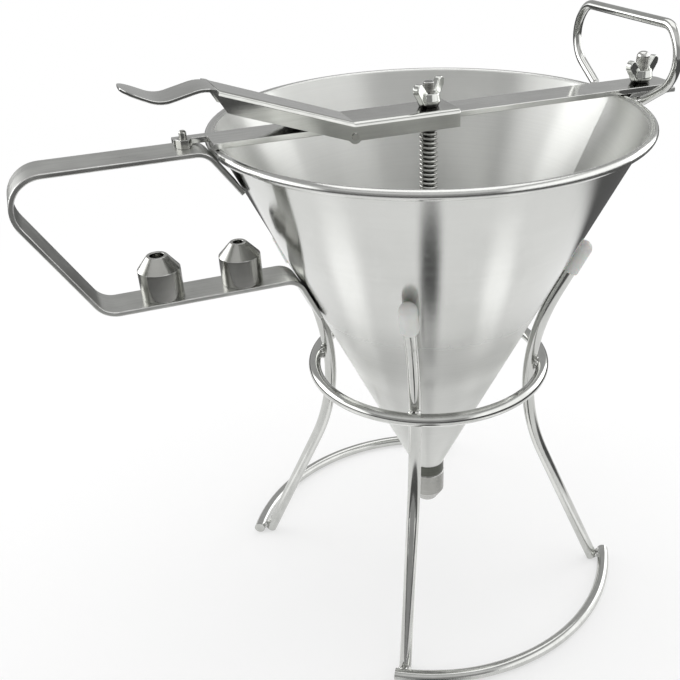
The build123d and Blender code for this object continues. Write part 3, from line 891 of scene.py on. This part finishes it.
spring_steel = metal("spring_steel", spring_tones, spring_roughness, lines_group, spring_lines, relief=0.01)
spring = new_piece("spring_wound", bpy.data.meshes.new("spring_wound"))
spring_sizes = {
    "Radius": spring_radius * mm,
    "Wire Radius": spring_wire * mm / 2,
    "Turns": spring_turns,
    "Height": (spring_top - spring_seat - spring_wire) * mm,
    "Foot": (spring_seat + spring_wire / 2) * mm,
}
run_tree(spring, spring_tree, spring_steel, spring_sizes)
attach(spring, "crossbar")
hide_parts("spring")
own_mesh(spring)

# Lever: an inverted channel pressed from stainless sheet, with a thumb rest at its free end.
# A pin through its flanges, under the crossbar, is its pivot.

lever_tones = ((0.46, 0.465, 0.445), (0.62, 0.625, 0.6))
lever_roughness = (0.1, 0.18)
lever_lines = (14, 2400, 450)
lever_ease = 0.3 * mm
flange_start = -90.3 * mm
flange_side = 10.4 * mm
fold_round = 2.0 * mm
fold_upward = 0.7
fold_outward = 0.9
pivot_low, pivot_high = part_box("lever_pivot")
pivot_spot = ((pivot_low.x + pivot_high.x) / 2, (pivot_low.z + pivot_high.z) / 2)
pivot_bore = 1.9 * mm
pivot_ear = 4.2 * mm
flange_corner = (-90.0 * mm, 260.0 * mm)
corner_reach = 6.2 * mm
pressed_sheet = metal("pressed_sheet", lever_tones, lever_roughness, lines_group, lever_lines, relief=0.06)


def flange_fold(edge):
    """Whether an edge of the lever is one that a flange is folded down along."""
    upward = max(face.normal.z for face in edge.link_faces)
    outward = max(abs(face.normal.y) for face in edge.link_faces)
    ends = [v.co for v in edge.verts]
    on_flange = all(end.x > flange_start and abs(end.y) > flange_side for end in ends)
    return on_flange and edge.is_convex and upward > fold_upward and outward > fold_outward


eased_copy(
    "lever",
    lever_ease,
    pressed_sheet,
    "lever",
    flange_fold,
    fold_round,
    (pivot_spot, pivot_bore),
    [(pivot_spot, pivot_ear), (flange_corner, corner_reach)],
)
dress("lever_pivot", turned_steel)

# Wing nuts: hot-forged nuts, one over the lever for the dose and one on the clamp.
# Forging leaves all their edges soft and their skin slightly uneven under the plating.

nut_tones = ((0.47, 0.48, 0.455), (0.6, 0.61, 0.585))
nut_roughness = (0.08, 0.15)
nut_lines = (500, 500, 500)
# Painted shade under the nuts' hubs: its tone, and the heights over which it gives way to the plating
painted_shade_tone = (0.03, 0.03, 0.028, 1)
painted_shade_heights = (0.12, 0.2)
skin_voxel = 0.25 * mm
skin_softening = 0.5
skin_rounds = 6
plated = metal("forged_plating", nut_tones, nut_roughness, lines_group, nut_lines, relief=0.02)

# Painted shade: the lowest share of their height is darkened to near black, for the shade under the hub
tree = plated.node_tree
plating = shader_inputs(plated)["Base Color"]
height_share = components(tree, coordinates(tree, "Generated"))[2]
unshaded_share = ramp(tree, height_share, painted_shade_heights)
shaded_plating = mix(tree, unshaded_share, painted_shade_tone, plating.links[0].from_socket, "RGBA")
tree.links.new(shaded_plating, plating)
for node, body in (("dose_wing_nut", "dose_nut"), ("clamp_wing_nut", "clamp_nut")):
    shape = merged_copy(node)
    mesh = bpy.data.meshes.new(node + "_forged")
    shape.to_mesh(mesh)
    shape.free()
    nut = new_piece(node + "_forged", mesh)
    skin = nut.modifiers.new("skin", "REMESH")
    skin.mode = "VOXEL"
    skin.voxel_size = skin_voxel
    skin.use_smooth_shade = True
    soften = nut.modifiers.new("soften", "SMOOTH")
    soften.factor = skin_softening
    soften.iterations = skin_rounds
    plain_mesh(nut, plated)
    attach(nut, body)
    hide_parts(node)

# Studio: a white table that fades into a white surround, a soft overhead lamp and two side
# lamps, and cards on the table that only the steel sees, which give it bright bands and dark
# lines.

table_half = 4.0
table_tone = (0.97, 0.97, 0.97, 1)
white = (1, 1, 1, 1)
fade_reach = (0.2, 0.7)
fade_levels = (0.5, 1.0)
sheet_corners = ((-1, -1), (1, -1), (1, 1), (-1, 1))


def flat_sheet(name, middle, along, across):
    """A flat sheet from its middle and two half sides, with a UV map from -1 to 1."""
    mesh = bpy.data.meshes.new(name)
    mesh.from_pydata([middle + along * i + across * j for i, j in sheet_corners], [], [(0, 1, 2, 3)])
    for loop, corner in zip(mesh.uv_layers.new(name="spread").data, sheet_corners):
        loop.uv = corner
    return new_piece(name, mesh)


def glowing(tree, share, bare, strength):
    """The end of a sheet's material: a bare shader that gives way by a share to a white glow."""
    glow = add_node(tree, "ShaderNodeEmission", {"Color": white, "Strength": strength})
    mixed = add_node(tree, "ShaderNodeMixShader", {0: share, 1: bare.outputs[0], 2: glow.outputs[0]})
    add_node(tree, "ShaderNodeOutputMaterial", {"Surface": mixed.outputs[0]})


table = flat_sheet("table", Vector((0, 0, 0)), Vector((table_half, 0, 0)), Vector((0, table_half, 0)))
table_white = bpy.data.materials.new("table_white")
table.data.materials.append(table_white)
tree = empty_tree(table_white)
far = ramp(tree, vector_calc(tree, "LENGTH", coordinates(tree)), fade_reach, smooth=True)
rays = add_node(tree, "ShaderNodeLightPath").outputs
seen = calc(tree, "MAXIMUM", rays["Is Camera Ray"], rays["Is Glossy Ray"])
seen = calc(tree, "MAXIMUM", seen, rays["Is Transmission Ray"])
fade = calc(tree, "MULTIPLY", ramp(tree, far, levels=fade_levels), seen)
matt = add_node(tree, "ShaderNodeBsdfDiffuse", {"Color": table_tone})
glowing(tree, fade, matt, strength=1.0)

# The surround that the steel mirrors: grey behind the table, darker low and lighter high on the
# camera's side, and a white panel to either side, the left one further round and stronger.
# front points to the camera and aside to its right
front = Vector((-0.407, -0.914, 0))
aside = Vector((0.914, -0.407, 0))
matt_level = 0.75
camera_level = 1.0
world = bpy.data.worlds.new("studio")
bpy.context.scene.world = world
tree = empty_tree(world)
way = coordinates(tree, "Generated")
height = components(tree, way)[2]
facing = vector_calc(tree, "DOT_PRODUCT", way, front)
sideways = vector_calc(tree, "DOT_PRODUCT", way, aside)
behind = ramp(tree, height, ends=(0.0, 0.25), levels=(0.5, 0.45), smooth=True)
before = ramp(tree, height, ends=(0.38, 0.58), levels=(0.36, 0.76), smooth=True)
open_level = mix(tree, ramp(tree, facing, ends=(0.1, 0.6), smooth=True), behind, before)
left_edge = ramp(tree, sideways, ends=(-0.72, -0.86), smooth=True)
right_edge = ramp(tree, sideways, ends=(0.5, 0.68), smooth=True)
panel_top = ramp(tree, height, ends=(0.85, 0.6), smooth=True)
panel = calc(tree, "MULTIPLY", calc(tree, "ADD", left_edge, right_edge), panel_top)
panel_level = ramp(tree, sideways, ends=(-0.3, 0.3), levels=(2.1, 1.5))
mirror_level = mix(tree, panel, open_level, panel_level)
rays = add_node(tree, "ShaderNodeLightPath").outputs
mirrored = calc(tree, "MAXIMUM", rays["Is Glossy Ray"], rays["Is Transmission Ray"])
unseen_level = mix(tree, mirrored, matt_level, mirror_level)
level = mix(tree, rays["Is Camera Ray"], unseen_level, camera_level)
sky = add_node(tree, "ShaderNodeBackground", {"Color": white, "Strength": level})
add_node(tree, "ShaderNodeOutputWorld", {"Surface": sky.outputs[0]})

lamp_target = Vector((0, 0, 0.2))


def softbox(name, place, size, power):
    """A square soft lamp at a place, turned to the bowl, in metres and watts."""
    lamp = bpy.data.lights.new(name, "AREA")
    lamp.size = size
    lamp.energy = power
    lit = bpy.data.objects.new(name, lamp)
    bpy.context.scene.collection.objects.link(lit)
    lit.location = place
    lit.rotation_euler = (lamp_target - Vector(place)).to_track_quat("-Z", "Y").to_euler()


softbox("overhead_lamp", place=(0.15, 0.2, 1.25), size=1.05, power=4.0)
softbox("left_lamp", place=(-0.76, 0.69, 0.5), size=0.6, power=1.8)
softbox("right_lamp", place=(1.02, 0.14, 0.42), size=0.6, power=1.8)


def card(name, centre, half_sizes, rise, edge, tone):
    """A card on the table that only the steel sees, with a soft round edge.

    centre and half_sizes run towards the camera and to its right and rise is the height over the
    table, in metres; edge gives the shares of the half sizes at which the card begins and is full.
    """
    middle = front * centre[0] + aside * centre[1] + Vector((0, 0, rise))
    piece = flat_sheet(name, middle, front * half_sizes[0], aside * half_sizes[1])
    piece.visible_camera = False
    piece.visible_diffuse = False
    piece.visible_shadow = False
    material = bpy.data.materials.new(name)
    piece.data.materials.append(material)
    tree = empty_tree(material)
    cover = ramp(tree, vector_calc(tree, "LENGTH", coordinates(tree, "UV")), edge, smooth=True)
    glowing(tree, cover, add_node(tree, "ShaderNodeBsdfTransparent"), tone)


soft_edge = (1.0, 0.3)
card("dark_surround", (0, -0.085), (3.9, 3.9), rise=0.001, edge=(0.092, 0.105), tone=0.11)
card("under_reflector", (0.04, 0.0), (0.07, 0.09), rise=0.0015, edge=(1.0, 0.4), tone=1.25)
card("left_reflector", (0.05, -0.152), (0.07, 0.055), rise=0.002, edge=soft_edge, tone=1.35)
card("right_reflector", (0.066, 0.128), (0.06, 0.045), rise=0.002, edge=soft_edge, tone=1.35)
card("dark_flag", (0.137, 0.004), (0.064, 0.03), rise=0.003, edge=soft_edge, tone=0.0)

# Camera: fitted to the rim, the crossbar, the handle and the stand
camera_place = Vector((-154.368, -346.026, 341.305)) * mm
camera_azimuth = math.radians(20.325)
camera_elevation = math.radians(-32.72)
camera_roll = math.radians(-1.81)
forward = Vector(
    (
        math.sin(camera_azimuth) * math.cos(camera_elevation),
        math.cos(camera_azimuth) * math.cos(camera_elevation),
        math.sin(camera_elevation),
    )
)
unrolled_right = forward.cross(Vector((0, 0, 1))).normalized()
unrolled_up = unrolled_right.cross(forward)
right = unrolled_right * math.cos(camera_roll) + unrolled_up * math.sin(camera_roll)
upright = unrolled_up * math.cos(camera_roll) - unrolled_right * math.sin(camera_roll)
camera_data = bpy.data.cameras.new("camera")
camera_data.lens = 46.113
camera_data.sensor_width = 36.0
camera_data.shift_x = -0.0588
camera_data.shift_y = 0.0882
camera_data.clip_start = 0.01
camera = bpy.data.objects.new("camera", camera_data)
bpy.context.scene.collection.objects.link(camera)
turn = Matrix((right, upright, -forward)).transposed()
camera.matrix_world = Matrix.Translation(camera_place) @ turn.to_4x4()
bpy.context.scene.camera = camera
bpy.context.scene.view_settings.view_transform = "Standard"
